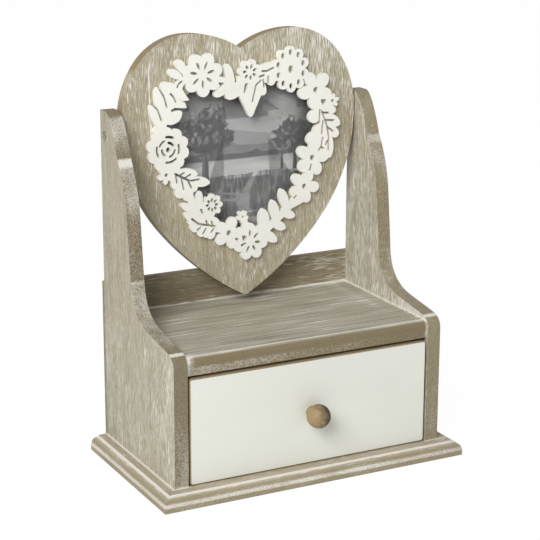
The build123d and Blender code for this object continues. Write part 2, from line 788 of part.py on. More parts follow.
def stroke(start, end, width):
    """A straight stroke with round ends."""
    run = (end[0] - start[0], end[1] - start[1])
    middle = Pos((start[0] + end[0]) / 2, (start[1] + end[1]) / 2)
    heading = Rot(0, 0, math.degrees(math.atan2(run[1], run[0])))
    return middle * heading * SlotCenterToCenter(math.hypot(*run), width)


def strokes(points, width):
    """Strokes that join a row of points."""
    return [stroke(a, b, width) for a, b in zip(points, points[1:])]


def curved_slit(x, z, radius, start, sweep):
    """A slit along an arc of the rose."""
    return Pos(x, z) * SlotArc(CenterArc((0, 0), radius, start, sweep), rose_slit_width)


def wreath_sketch():
    """The whole wreath as one pierced face."""
    solid_parts = []
    holes = []
    for motif in slit_flowers:
        solid_parts += flower(*motif, 0.62, 1.2)
        holes += petal_slits(*motif)
    for x, z, reach, petals, turn, eye in eye_flowers:
        solid_parts += flower(x, z, reach, petals, turn, 0.6, 0.94)
        holes.append(Pos(x, z) * Circle(eye))
    for x, z, reach, petals, turn, stretch in daisies:
        ring_share = 0.7
        solid_parts += flower(x, z, reach, petals, turn, ring_share, 1.2, stretch)
        holes.append(Pos(x, z) * Ellipse(0.85 * daisy_eye_radius, stretch * daisy_eye_radius))
        spots = ring_spots(x, z, ring_share * reach, petals, turn, stretch)
        hole = Ellipse(0.8 * daisy_hole_radius, stretch * daisy_hole_radius)
        holes += [Pos(px, pz) * hole for px, pz, heading in spots]
    for motif in roses:
        solid_parts += flower(*motif, 0.75, 1.15)
        holes.append(Pos(motif[0], motif[1]) * Circle(rose_eye_radius))
        holes += [curved_slit(motif[0], motif[1], *slit) for slit in rose_slits]
    solid_parts += [leaf(*motif, 1.0) for motif in round_leaves]
    solid_parts += [leaf(*motif, 0.85) for motif in pointed_leaves]
    solid_parts += [make_face(Polyline(*points, close=True)) for points in wedges]
    for points in stems:
        solid_parts += strokes(points, stem_width)
    for points in vein_slits:
        holes += strokes(points, vein_width)
    holes += [Pos(x, z) * Circle(radius) for x, z, radius in round_holes]
    sketch = Sketch() + solid_parts - holes
    drawn_scale = (heart_half_width - wreath_border) / wreath_drawn_half_width
    return scale(sketch, by=drawn_scale)


def rebate_face(clearance):
    """Outline of the rebate behind the aperture, drawn in by a clearance."""
    return offset(heart_face(*aperture_outline), rebate_width - clearance)


# Screws of the turn buttons: x, z and the way each blade points, in the board's plane
side_button_x = aperture_half_width + rebate_width + button_setback
top_button_z = aperture_notch_z + 2 * rebate_width + button_setback
bottom_button_z = aperture_tip_z - rebate_width - button_setback
buttons = {
    "turn_button_top": (0.0, top_button_z, -90.0),
    "turn_button_bottom": (0.0, bottom_button_z, 90.0),
    "turn_button_left": (-side_button_x, aperture_waist, 0.0),
    "turn_button_right": (side_button_x, aperture_waist, 180.0),
}


def button_screw_place(x, z):
    """From the origin of an upright screw to its hole in the back of the upright board."""
    return Pos(x, rear_y, z) * Rot(-90, 0, 0)


def heart_frame():
    """Heart board with its aperture, rebate, pivot holes and holes for the button screws."""
    outline = heart_face(*heart_outline)
    tip = outline.vertices().sort_by(Axis.Y)[0]
    board = plate(fillet(tip, tip_rounding), face_y, rear_y)
    board -= plate(heart_face(*aperture_outline), face_y, rear_y)
    board -= plate(rebate_face(0), pane_front_y, rear_y)
    pivot_hole = rod(pivot_screw_diameter / 2 + fastener_clearance, pivot_screw_grip)
    for turn in (90, -90):
        inward = Rot(0, turn, 0) * Pos(0, 0, heart_half_width - pivot_screw_grip)
        board -= inward * pivot_hole
    button_hole = rod(button_screw_diameter / 2 + fastener_clearance, button_screw_depth)
    for x, z, heading in buttons.values():
        board -= button_screw_place(x, z) * Pos(0, 0, -button_screw_depth) * button_hole
    return heart_place * board


def floral_wreath():
    return heart_place * plate(wreath_sketch(), face_y - wreath_thickness, face_y)


def rebate_layer(front, back):
    """A sheet that lies in the rebate between two depths."""
    return heart_place * plate(rebate_face(rebate_clearance), front, back)


def turn_button(x, z, heading):
    """A flat blade with round ends that turns on its screw."""
    shift = (button_length - button_width) / 2 - (button_tail - button_width / 2)
    blade = Pos(shift, 0) * SlotOverall(button_length, button_width)
    blade -= Circle(button_screw_diameter / 2 + running_clearance)
    front = rear_y + button_lift
    return heart_place * plate(Pos(x, z) * Rot(0, 0, heading) * blade, front, front + button_thickness)


def turn_button_screw(x, z):
    """Screw of a turn button, its head just clear of the blade."""
    stand = button_thickness + 2 * button_lift
    length = button_screw_depth + stand - fastener_clearance
    screw = round_head_screw(
        button_screw_diameter, length, button_head_diameter, button_head_height
    )
    return heart_place * button_screw_place(x, z) * Pos(0, 0, stand) * screw


def pivot_screw(side):
    """Screw through a side panel into the edge of the heart board; side is -1 or 1."""
    sink_floor = body_half_width - pivot_sink + running_clearance
    length = sink_floor - heart_half_width + pivot_screw_grip - fastener_clearance
    screw = round_head_screw(
        pivot_screw_diameter, length, pivot_head_diameter, pivot_head_height
    )
    return heart_place * Rot(0, side * 90, 0) * Pos(0, 0, sink_floor) * screw


base_screw = flat_head_screw(
    base_screw_diameter,
    base_screw_length - fastener_clearance,
    base_head_diameter,
    base_head_height,
)
nodes = {
    "base_plinth": base_plinth(),
    "left_side_panel": side_panel(-1),
    "right_side_panel": side_panel(1),
    "shelf": shelf(),
    "back_panel": back_panel(),
    "base_screws": group(place * base_screw for place in base_screw_places),
    "shelf_dowels": group(dowel(side, y, 0) for side, y in dowel_places),
    "back_panel_pins": group(
        place * pin(pin_length - fastener_clearance) for place in back_pin_places
    ),
    "drawer_front": drawer_front(),
    "drawer_left_side": drawer_side(-1),
    "drawer_right_side": drawer_side(1),
    "drawer_back": drawer_back(),
    "drawer_bottom": drawer_floor(0),
    "drawer_pins": group(
        place * pin(pin_length - fastener_clearance) for place in drawer_pin_places
    ),
    "drawer_knob": drawer_knob(),
    "knob_screw": knob_screw(),
    "heart_frame": heart_frame(),
    "floral_wreath": floral_wreath(),
    "glass_pane": rebate_layer(pane_front_y, print_front_y),
    "photo_print": rebate_layer(print_front_y, backing_front_y),
    "backing_board": rebate_layer(backing_front_y, backing_front_y + backing_thickness),
    "turn_button_screws": group(turn_button_screw(x, z) for x, z, heading in buttons.values()),
    "left_pivot_screw": pivot_screw(-1),
    "right_pivot_screw": pivot_screw(1),
}
for name, place in buttons.items():
    nodes[name] = turn_button(*place)

os.makedirs("parts", exist_ok=True)
for name, solid in nodes.items():
    export_step(solid, f"parts/{name}.step")
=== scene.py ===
import json
import math

import bmesh
import bpy
import numpy as np
from mathutils import Matrix, Vector


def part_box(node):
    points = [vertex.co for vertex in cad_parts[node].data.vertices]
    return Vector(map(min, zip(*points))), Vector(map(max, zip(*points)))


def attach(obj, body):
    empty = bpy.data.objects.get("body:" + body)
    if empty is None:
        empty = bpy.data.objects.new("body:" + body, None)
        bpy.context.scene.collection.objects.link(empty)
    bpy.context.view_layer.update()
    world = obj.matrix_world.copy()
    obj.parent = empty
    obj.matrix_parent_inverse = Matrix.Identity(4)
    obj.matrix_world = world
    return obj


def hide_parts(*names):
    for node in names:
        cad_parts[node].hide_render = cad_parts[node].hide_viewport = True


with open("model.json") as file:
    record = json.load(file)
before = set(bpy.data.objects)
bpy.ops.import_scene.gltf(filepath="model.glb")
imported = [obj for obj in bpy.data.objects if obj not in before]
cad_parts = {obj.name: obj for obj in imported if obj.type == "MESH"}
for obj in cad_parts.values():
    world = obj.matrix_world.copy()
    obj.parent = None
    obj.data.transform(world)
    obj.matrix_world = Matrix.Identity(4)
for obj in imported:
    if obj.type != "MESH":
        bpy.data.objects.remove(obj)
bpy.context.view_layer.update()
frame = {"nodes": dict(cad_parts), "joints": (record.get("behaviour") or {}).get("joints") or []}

# A heart photo frame that swivels between two uprights on a small cabinet with one drawer.
# Metres, in the frame of the solids: X to the right, Y to the back, Z up.

MM = 0.001
scene = bpy.context.scene

# Places that the finishes need, in millimetres
bay_half_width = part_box("shelf")[1].x / MM
shelf_front, shelf_back = (corner.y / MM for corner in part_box("shelf"))
shelf_bottom, shelf_top = (corner.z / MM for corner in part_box("shelf"))
rail_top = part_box("back_panel")[1].z / MM
panel_outside = -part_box("left_side_panel")[0].x / MM
panel_front, panel_back = (corner.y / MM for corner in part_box("left_side_panel"))
panel_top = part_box("left_side_panel")[1].z / MM
plinth_half_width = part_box("base_plinth")[1].x / MM
plinth_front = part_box("base_plinth")[0].y / MM
plinth_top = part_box("base_plinth")[1].z / MM

# The heart's hinge, and how far its top leans back at rest
heart_joint = [joint for joint in frame["joints"] if joint["name"] == "heart_tilt"][0]
heart_lean = math.radians(2.6)


def linear(colour):
    """An sRGB hex colour as linear RGBA: below 0.04045 a twelfth part, above it a power of 2.4."""
    channels = [int(colour[k:k + 2], 16) / 255 for k in (1, 3, 5)]
    return tuple(c / 12.92 if c <= 0.04045 else ((c + 0.055) / 1.055) ** 2.4 for c in channels) + (1.0,)


def add(tree, kind, sockets=None, stops=None, **settings):
    """Adds a node, sets it, links or fills its input sockets, and places a ramp's stops.

    A value that is a socket is linked, and any other is filled in. ShaderNodeMix has its factor
    at input 0, numbers at 2 and 3, vectors at 4 and 5 and colours at 6 and 7. Its result is at
    output 0 for numbers, 1 for vectors and 2 for colours.
    """
    made = tree.nodes.new(kind)
    for name, value in settings.items():
        setattr(made, name, value)
    for name, value in (sockets or {}).items():
        if isinstance(value, bpy.types.NodeSocket):
            tree.links.new(value, made.inputs[name])
        else:
            made.inputs[name].default_value = value
    if stops:
        while len(made.color_ramp.elements) < len(stops):
            made.color_ramp.elements.new(0.5)
        for element, (place, colour) in zip(made.color_ramp.elements, stops):
            element.position = place
            element.color = colour
    return made


def new_material(name):
    """An empty node material with its shader and output joined."""
    material = bpy.data.materials.new(name)
    material.use_nodes = True
    tree = material.node_tree
    tree.nodes.clear()
    shader = add(tree, "ShaderNodeBsdfPrincipled")
    add(tree, "ShaderNodeOutputMaterial", {"Surface": shader.outputs["BSDF"]})
    return material, tree, shader


def grain_scale(grain, across, along):
    """Scale of a pattern that is drawn out along the grain; sizes in millimetres."""
    return tuple(1 / (MM * (along if axis == grain else across)) for axis in "XYZ")


def grey(value):
    """A grey for a stop of a ramp."""
    return (value, value, value, 1.0)


def noise(tree, place, scale, detail, roughness=0.5):
    """Noise whose cell is one unit of the scaled place, spread from about 0 to 1."""
    mapped = add(tree, "ShaderNodeMapping", {"Vector": place, "Scale": scale})
    made = add(
        tree,
        "ShaderNodeTexNoise",
        {"Vector": mapped.outputs["Vector"], "Scale": 1.0, "Detail": detail, "Roughness": roughness},
    )
    # Most values of the plain noise lie between these two
    low, high = 0.28, 0.72
    spread = add(
        tree, "ShaderNodeMapRange", {"Value": made.outputs["Fac"], "From Min": low, "From Max": high}
    )
    return spread.outputs["Result"]


def strength_along(tree, length, points):
    """A strength that changes along a length: points of (millimetres, strength), joined straight."""
    low, high = points[0][0], points[-1][0]
    share = add(
        tree,
        "ShaderNodeMapRange",
        {"Value": length, "From Min": low * MM, "From Max": high * MM},
    )
    return add(
        tree,
        "ShaderNodeValToRGB",
        {"Fac": share.outputs["Result"]},
        stops=[((mm - low) / (high - low), grey(value)) for mm, value in points],
    ).outputs["Color"]


def turned_at_mitre(tree, place, axes, mitre):
    """The place with X and Y exchanged where |x| + y is over the mitre's millimetres."""
    across = add(tree, "ShaderNodeMath", {0: axes["X"]}, operation="ABSOLUTE").outputs[0]
    corner = add(tree, "ShaderNodeMath", {0: across, 1: axes["Y"]}, operation="ADD").outputs[0]
    is_side = add(tree, "ShaderNodeMath", {0: corner, 1: mitre * MM}, operation="GREATER_THAN").outputs[0]
    turned = add(tree, "ShaderNodeCombineXYZ", {"X": axes["Y"], "Y": axes["X"], "Z": axes["Z"]}).outputs[0]
    return add(tree, "ShaderNodeMix", {0: is_side, 4: place, 5: turned}, data_type="VECTOR").outputs[1]


def washed(tree, amount, washes, axes, is_broad):
    """An amount of lime plus its washes: a wash is a product of strengths along axes.

    It lies on the broad faces, on the edges or on all.
    """
    is_edge = add(tree, "ShaderNodeMath", {0: 1.0, 1: is_broad}, operation="SUBTRACT").outputs[0]
    covered = {"broad": [is_broad], "edge": [is_edge], "all": []}
    for where, *strengths in washes:
        factors = [strength_along(tree, axes[axis], points) for axis, points in strengths]
        factors += covered[where]
        wash = factors[0]
        for factor in factors[1:]:
            wash = add(tree, "ShaderNodeMath", {0: wash, 1: factor}, operation="MULTIPLY").outputs[0]
        amount = add(tree, "ShaderNodeMath", {0: amount, 1: wash}, operation="ADD").outputs[0]
    return amount


def with_arris(tree, colour, facing, dark, pale):
    """A colour whose arrises have a dark line on the edge's side and a pale line on the face's side."""
    for strength, tone, (low, peak, high) in (
        (dark, "#6A5E42", (0.12, 0.4, 0.64)),
        (pale, "#DCD5C0", (0.62, 0.8, 0.96)),
    ):
        line = add(
            tree,
            "ShaderNodeValToRGB",
            {"Fac": facing},
            stops=[(low, grey(0.0)), (peak, grey(strength)), (high, grey(0.0))],
        ).outputs["Color"]
        colour = add(
            tree, "ShaderNodeMix", {0: line, 6: colour, 7: linear(tone)}, data_type="RGBA"
        ).outputs[2]
    return colour


def limed_wood(name, grain, broad, tones, edge_tones, amounts, washes, pore, length,
               speckle=0.6, arris=(0.0, 0.0), mitre=None, full_at=1.45):
    """Open-pored hardwood, sawn and sanded, stained grey-brown and rubbed with white lime.

    Broad faces show fine streaks over slow bands along the grain, of the given pore width and
    length in millimetres, and sawn edges show specks; both are drawn a little coarser than
    real pores, to show from a distance. Lime starts where pattern + amount comes near 1 and is
    full where the sum reaches full_at, so a low full_at makes it crisp; on the edges it starts
    earlier and thins out softly. The amount is one number for broad faces and one for edges,
    plus washes. Speckle is the contrast of the edges, one number or a strength along Z. The
    arris is how dark its line on the edge's side is and how pale the one on the face's side.
    With a mitre, the grain turns from X to Y at the front corners.
    """
    grit_size, speck_size = 0.95 * MM, 0.7 * MM
    cloud_share, streak_share, grit_share = 0.4, 0.55, 0.28
    # Part of the normal along the broad face's own axis, on the edge and on the face
    edge_until, broad_from = 0.72, 0.92
    edge_lime_from, edge_full_at = 0.7, 1.45
    broad_lime_from = 0.95
    thickest_lime = 0.88
    lime_white = "#E6E3DA"
    material, tree, shader = new_material(name)
    coordinates = add(tree, "ShaderNodeTexCoord")
    place = coordinates.outputs["Object"]
    axes = add(tree, "ShaderNodeSeparateXYZ", {"Vector": place}).outputs
    normals = add(tree, "ShaderNodeSeparateXYZ", {"Vector": coordinates.outputs["Normal"]}).outputs
    facing = add(tree, "ShaderNodeMath", {0: normals[broad]}, operation="ABSOLUTE").outputs[0]
    is_broad = add(
        tree, "ShaderNodeMapRange", {"Value": facing, "From Min": edge_until, "From Max": broad_from}
    ).outputs["Result"]
    if mitre:
        place = turned_at_mitre(tree, place, axes, mitre)

    # Stain on the broad faces: fine streaks over slow bands and clouds, from brown to pale grey
    streaks = noise(tree, place, grain_scale(grain, pore, length), 2.0, 0.6)
    bands = noise(tree, place, grain_scale(grain, 5 * pore, 5 * length), 2.0)
    clouds = noise(tree, place, grain_scale(grain, 14.0, 60.0), 1.0)
    slow = add(tree, "ShaderNodeMix", {0: cloud_share, 2: bands, 3: clouds}, data_type="FLOAT")
    depth = add(tree, "ShaderNodeMix", {0: streak_share, 2: slow.outputs[0], 3: streaks}, data_type="FLOAT")
    grit = noise(tree, place, (1 / grit_size,) * 3, 2.0, 0.6)
    depth = add(tree, "ShaderNodeMix", {0: grit_share, 2: depth.outputs[0], 3: grit}, data_type="FLOAT")
    stain = add(
        tree,
        "ShaderNodeMix",
        {0: depth.outputs[0], 6: linear(tones[0]), 7: linear(tones[1])},
        data_type="RGBA",
    )

    # Stain on the edges: specks of cut pores
    contrast = speckle if isinstance(speckle, float) else strength_along(tree, axes["Z"], speckle)
    level = add(tree, "ShaderNodeMix", {0: contrast, 2: 0.5, 3: grit}, data_type="FLOAT")
    sawn = add(
        tree,
        "ShaderNodeMix",
        {0: level.outputs[0], 6: linear(edge_tones[0]), 7: linear(edge_tones[1])},
        data_type="RGBA",
    )
    stain = add(
        tree, "ShaderNodeMix", {0: is_broad, 6: sawn.outputs[2], 7: stain.outputs[2]}, data_type="RGBA"
    )

    # Lime: dashes in the pores of the broad faces, specks on the edges
    dashes = noise(tree, place, grain_scale(grain, pore, 0.7 * length), 1.0)
    specks = noise(tree, place, (1 / speck_size,) * 3, 1.0)
    soft = add(tree, "ShaderNodeMath", {0: specks, 1: 0.5, 2: 0.25}, operation="MULTIPLY_ADD")
    pattern = add(tree, "ShaderNodeMix", {0: is_broad, 2: soft.outputs[0], 3: dashes}, data_type="FLOAT")
    start = add(tree, "ShaderNodeMix", {0: is_broad, 2: amounts[1], 3: amounts[0]}, data_type="FLOAT")
    # Rubbed unevenly: patches of up to 0.15 more or less
    patches = noise(tree, place, grain_scale(grain, 9.0, 34.0), 1.0)
    uneven = add(tree, "ShaderNodeMath", {0: patches, 1: 0.3, 2: -0.15}, operation="MULTIPLY_ADD")
    amount = add(tree, "ShaderNodeMath", {0: start.outputs[0], 1: uneven.outputs[0]}, operation="ADD")
    amount = washed(tree, amount.outputs[0], washes, axes, is_broad)
    over = add(tree, "ShaderNodeMath", {0: pattern.outputs[0], 1: amount}, operation="ADD")
    first = add(
        tree, "ShaderNodeMix", {0: is_broad, 2: edge_lime_from, 3: broad_lime_from}, data_type="FLOAT"
    )
    full = add(tree, "ShaderNodeMix", {0: is_broad, 2: edge_full_at, 3: full_at}, data_type="FLOAT")
    lime = add(
        tree,
        "ShaderNodeMapRange",
        {
            "Value": over.outputs[0],
            "From Min": first.outputs[0],
            "From Max": full.outputs[0],
            "To Max": thickest_lime,
        },
    ).outputs["Result"]
    colour = add(
        tree, "ShaderNodeMix", {0: lime, 6: stain.outputs[2], 7: linear(lime_white)}, data_type="RGBA"
    )
    colour = with_arris(tree, colour.outputs[2], facing, *arris)
    tree.links.new(colour, shader.inputs["Base Color"])

    # Raised grain and the slightly proud lime
    relief = add(tree, "ShaderNodeMath", {0: streaks, 1: 0.6, 2: lime}, operation="MULTIPLY_ADD")
    bump = add(
        tree,
        "ShaderNodeBump",
        {"Height": relief.outputs[0], "Distance": 0.06 * MM, "Strength": 0.3},
    )
    tree.links.new(bump.outputs["Normal"], shader.inputs["Normal"])
    shader.inputs["Roughness"].default_value = 0.62
    shader.inputs["Specular IOR Level"].default_value = 0.3
    return material


def painted_wood(name, colour, shadow_colour, face_only=None):
    """Brushed matt emulsion on sanded wood: faint brush lines and a slight warm cast in them.

    With an axis named, the paint covers only the face that looks down that axis. It stops at the
    arris, and the edges show stained wood.
    """
    # Part of the normal along that axis, on the bare edge and on the painted face
    wood_until, paint_from = -0.93, -0.985
    material, tree, shader = new_material(name)
    place = add(tree, "ShaderNodeTexCoord")
    brush = noise(tree, place.outputs["Object"], grain_scale("X", 0.9, 38.0), 2.0)
    cloud = noise(tree, place.outputs["Object"], grain_scale("X", 28.0, 60.0), 1.0)
    both = add(tree, "ShaderNodeMix", {0: 0.85, 2: brush, 3: cloud}, data_type="FLOAT")
    paint = add(
        tree,
        "ShaderNodeMix",
        {0: both.outputs[0], 6: linear(shadow_colour), 7: linear(colour)},
        data_type="RGBA",
    ).outputs[2]
    if face_only:
        streaks = noise(tree, place.outputs["Object"], grain_scale("X", 0.9, 22.0), 3.0)
        wood = add(
            tree,
            "ShaderNodeMix",
            {0: streaks, 6: linear("#7A6C50"), 7: linear("#A08F6E")},
            data_type="RGBA",
        )
        normals = add(tree, "ShaderNodeSeparateXYZ", {"Vector": place.outputs["Normal"]})
        front = add(
            tree,
            "ShaderNodeMapRange",
            {"Value": normals.outputs[face_only], "From Min": wood_until, "From Max": paint_from},
        )
        paint = add(
            tree,
            "ShaderNodeMix",
            {0: front.outputs["Result"], 6: wood.outputs[2], 7: paint},
            data_type="RGBA",
        ).outputs[2]
    tree.links.new(paint, shader.inputs["Base Color"])
    bump = add(tree, "ShaderNodeBump", {"Height": brush, "Distance": 0.05 * MM, "Strength": 0.04})
    tree.links.new(bump.outputs["Normal"], shader.inputs["Normal"])
    shader.inputs["Roughness"].default_value = 0.5
    shader.inputs["Specular IOR Level"].default_value = 0.35
    return material


def bare_wood(name, grain, dark, light, roughness=0.6, ring=2.2, painted_shade_half_width=None):
    """Wood planed or turned and left bare: growth rings cut lengthwise, as bands along the grain.

    With a half width given, painted shade darkens the piece from its left to its right side,
    over that half width in millimetres, with a cloudy border.
    """
    material, tree, shader = new_material(name)
    place = add(tree, "ShaderNodeTexCoord")
    bands = noise(tree, place.outputs["Object"], grain_scale(grain, ring, 60.0), 2.0)
    fibres = noise(tree, place.outputs["Object"], grain_scale(grain, 0.5, 12.0), 2.0)
    both = add(tree, "ShaderNodeMix", {0: 0.4, 2: bands, 3: fibres}, data_type="FLOAT")
    colour = add(
        tree,
        "ShaderNodeMix",
        {0: both.outputs[0], 6: linear(dark), 7: linear(light)},
        data_type="RGBA",
    )
    # Painted shade: darker from the left side to the right side, where less light falls
    if painted_shade_half_width:
        axes = add(tree, "ShaderNodeSeparateXYZ", {"Vector": place.outputs["Object"]})
        shade_border_size, shade_border_reach = 3.0 * MM, 4.0 * MM
        unshaded_until, shaded_from = -0.2 * painted_shade_half_width * MM, 0.7 * painted_shade_half_width * MM
        shade_border_noise = noise(tree, place.outputs["Object"], (1 / shade_border_size,) * 3, 2.0)
        worn_path_and_shade_border = add(
            tree,
            "ShaderNodeMath",
            {0: shade_border_noise, 1: shade_border_reach, 2: axes.outputs["X"]},
            operation="MULTIPLY_ADD",
        )
        painted_shade = add(
            tree,
            "ShaderNodeMapRange",
            {"Value": worn_path_and_shade_border.outputs[0], "From Min": unshaded_until, "From Max": shaded_from},
        )
        # Painted shade: the dark grey brown that the right side turns to
        colour = add(
            tree,
            "ShaderNodeMix",
            {0: painted_shade.outputs["Result"], 6: colour.outputs[2], 7: linear("#3F3A2F")},
            data_type="RGBA",
        )
    tree.links.new(colour.outputs[2], shader.inputs["Base Color"])
    bump = add(tree, "ShaderNodeBump", {"Height": fibres, "Distance": 0.05 * MM, "Strength": 0.3})
    tree.links.new(bump.outputs["Normal"], shader.inputs["Normal"])
    shader.inputs["Roughness"].default_value = roughness
    shader.inputs["Specular IOR Level"].default_value = 0.3
    return material


def zinc_steel():
    """Pressed and turned steel with bright zinc plating: grey, with soft handling marks."""
    material, tree, shader = new_material("zinc_plated_steel")
    place = add(tree, "ShaderNodeTexCoord")
    mark_size = 2.5 * MM
    marks = noise(tree, place.outputs["Object"], (1 / mark_size,) * 3, 3.0)
    colour = add(
        tree, "ShaderNodeMix", {0: marks, 6: linear("#A9A7A2"), 7: linear("#CFCDC8")}, data_type="RGBA"
    )
    tree.links.new(colour.outputs[2], shader.inputs["Base Color"])
    rough = add(tree, "ShaderNodeMapRange", {"Value": marks, "To Min": 0.28, "To Max": 0.45})
    tree.links.new(rough.outputs["Result"], shader.inputs["Roughness"])
    shader.inputs["Metallic"].default_value = 1.0
    return material


def clear_glass():
    """Float glass: clear, polished, with faint wiping marks over what lies behind it."""
    material, tree, shader = new_material("float_glass")
    place = add(tree, "ShaderNodeTexCoord")
    wiped = noise(tree, place.outputs["Object"], grain_scale("X", 9.0, 30.0), 2.0)
    tint = add(
        tree, "ShaderNodeMix", {0: wiped, 6: linear("#EDF2EF"), 7: linear("#F8FAF9")}, data_type="RGBA"
    )
    tree.links.new(tint.outputs[2], shader.inputs["Base Color"])
    rough = add(tree, "ShaderNodeMapRange", {"Value": wiped, "To Min": 0.03, "To Max": 0.06})
    tree.links.new(rough.outputs["Result"], shader.inputs["Roughness"])
    shader.inputs["IOR"].default_value = 1.52
    shader.inputs["Alpha"].default_value = 0.07
    return material


def fibreboard():
    """Hardboard: pressed brown wood fibres, smooth with a fine felt of darker fibres."""
    material, tree, shader = new_material("hardboard")
    place = add(tree, "ShaderNodeTexCoord")
    fibre_size = 1.4 * MM
    felt = noise(tree, place.outputs["Object"], (1 / fibre_size,) * 3, 4.0, 0.7)
    colour = add(
        tree, "ShaderNodeMix", {0: felt, 6: linear("#6B5036"), 7: linear("#8E6E4C")}, data_type="RGBA"
    )
    tree.links.new(colour.outputs[2], shader.inputs["Base Color"])
    bump = add(tree, "ShaderNodeBump", {"Height": felt, "Distance": 0.05 * MM, "Strength": 0.3})
    tree.links.new(bump.outputs["Normal"], shader.inputs["Normal"])
    shader.inputs["Roughness"].default_value = 0.55
    return material


def print_paper():
    """Satin photographic paper: the tone of each point is kept in the sheet's own attribute."""
    material, tree, shader = new_material("satin_photo_paper")
    tone = add(tree, "ShaderNodeAttribute", attribute_name="tone")
    place = add(tree, "ShaderNodeTexCoord")
    film_grain = 0.7 * MM
    film = noise(tree, place.outputs["Object"], (1 / film_grain,) * 3, 2.0)
    lift = add(tree, "ShaderNodeMapRange", {"Value": film, "To Min": 0.95, "To Max": 1.05})
    shade = add(
        tree, "ShaderNodeMath", {0: tone.outputs["Fac"], 1: lift.outputs["Result"]}, operation="MULTIPLY"
    )
    colour = add(tree, "ShaderNodeCombineColor", {k: shade.outputs[0] for k in range(3)})
    tree.links.new(colour.outputs["Color"], shader.inputs["Base Color"])
    shader.inputs["Roughness"].default_value = 0.4
    return material


# Heart board: grain up and down, with the finest pores and crisp lime
heart_line = -66.8  # x of a white line on the left lobe
heart_wood = limed_wood(
    "limed_ash_heart",
    grain="Z",
    broad="Y",
    tones=("#6D6348", "#CAC2A9"),
    edge_tones=("#75664A", "#9C8A66"),
    amounts=(0.20, -0.1),
    washes=[
        # Pale sawn edge round the lobes
        ("edge", ("Z", [(110.0, 0.0), (215.0, 0.0), (230.0, 0.5), (256.0, 0.5), (268.0, 0.0)])),
        # White line down the left lobe, on the front only
        ("broad", ("X", [(heart_line - 0.6, 0.0), (heart_line - 0.2, 0.8), (heart_line + 0.2, 0.8),
                         (heart_line + 0.6, 0.0)]),
         ("Z", [(190.0, 0.0), (200.0, 1.0), (215.0, 0.6), (240.0, 0.6), (255.0, 1.0), (264.0, 0.0)]),
         ("Y", [(52.0, 1.0), (55.0, 0.0)])),
        # Paler towards the top and towards the right
        ("broad", ("Z", [(110.0, 0.0), (200.0, 0.0), (250.0, 0.18)])),
        ("broad", ("X", [(-20.0, 0.0), (40.0, 0.12)])),
    ],
    pore=0.42,
    length=14.0,
    full_at=1.27,
    arris=(0.5, 0.25),
)

# Side panels: the profiled front edge has pale and brown stretches and three white lines
panel_bands = [
    # Foot: white at the plinth, then ever browner
    (plinth_top, 0.70),
    (plinth_top + 1.5, 0.25),
    (plinth_top + 9, 0.22),
    (plinth_top + 30, 0.10),
    (60.0, 0.0),
    # Pale slope above the shelf, with a white line at its top
    (shelf_top + 3.0, 0.0),
    (shelf_top + 5.0, 0.30),
    (110.0, 0.38),
    (118.0, 0.42),
    (126.0, 0.38),
    (127.5, 0.58),
    (129.5, 0.12),
    # Brown upright, paler towards the white line under the crown
    (150.0, 0.0),
    (165.0, 0.05),
    (178.0, 0.34),
    (199.5, 0.48),
    (201.5, 0.95),
    (205.0, 0.95),
    (206.0, 0.12),
    (panel_top - 3, 0.10),
    (panel_top, 0.0),
]
inner_right_face = [(bay_half_width - 1, 0.0), (bay_half_width, 1.0), (bay_half_width + 2, 0.0)]
panel_wood = {}
# Each side's tones on the edge, its share of the bands and the lime on its crown
for side, edge_tones, share, crown in (
    ("left", ("#4A412D", "#9F947A"), 1.0, 0.55),
    ("right", ("#6A6048", "#A99E84"), 0.6, 0.05),
):
    panel_wood[side] = limed_wood(
        "limed_ash_" + side + "_panel",
        grain="Z",
        broad="X",
        tones=("#726952", "#CBC4B0"),
        edge_tones=edge_tones,
        amounts=(0.13, 0.0),
        washes=[
            ("edge", ("Z", [(mm, share * strength) for mm, strength in panel_bands])),
            # Crown
            ("edge", ("Z", [(207.0, 0.1 * crown), (222.0, crown), (229.0, crown), (232.0, 0.0)])),
            # White fleck on the profile just above the shelf
            ("edge", ("Y", [(panel_front + 4.0, 0.0), (panel_front + 5.0, 1.0),
                            (panel_front + 6.5, 1.0), (panel_front + 8.0, 0.0)]),
             ("Z", [(shelf_top - 1, 0.0), (shelf_top + 1, 1.0), (shelf_top + 8, 1.0),
                    (shelf_top + 9, 0.0)])),
            # Faces paler low down, and most of all near the front
            ("broad", ("Z", [(plinth_top, 0.27), (60.0, 0.2), (130.0, 0.05), (panel_top, 0.0)])),
            ("broad", ("Y", [(panel_front, 0.24), (panel_front + 40, 0.05), (panel_back, 0.0)]),
             ("Z", [(plinth_top, 0.6), (100.0, 1.0), (130.0, 0.4), (160.0, 0.0)])),
            # Inner face of the right panel above the shelf: pale all over, with a white line
            # and a pale patch where it meets the shelf
            ("broad", ("X", inner_right_face),
             ("Z", [(shelf_top - 1, 0.0), (shelf_top, 0.3), (panel_top, 0.3)])),
            ("broad", ("X", inner_right_face),
             ("Z", [(shelf_top - 2, 0.0), (shelf_top, 0.45), (shelf_top + 0.6, 0.4),
                    (shelf_top + 1.2, 0.0)])),
            ("broad", ("X", inner_right_face),
             ("Z", [(shelf_top, 0.2), (shelf_top + 6, 0.16), (shelf_top + 9, 0.0)]),
             ("Y", [(panel_front + 4, 0.0), (panel_front + 9, 1.0), (panel_front + 36, 1.0),
                    (panel_front + 46, 0.0)])),
        ],
        speckle=[(plinth_top, 0.9), (40.0, 0.8), (75.0, 0.35), (96.0, 0.2), (102.0, 0.6), (120.0, 0.9),
                 (165.0, 1.0), (190.0, 0.6), (panel_top, 0.45)],
        pore=0.45,
        length=8.5,
        arris=(0.55, 0.2),
    )

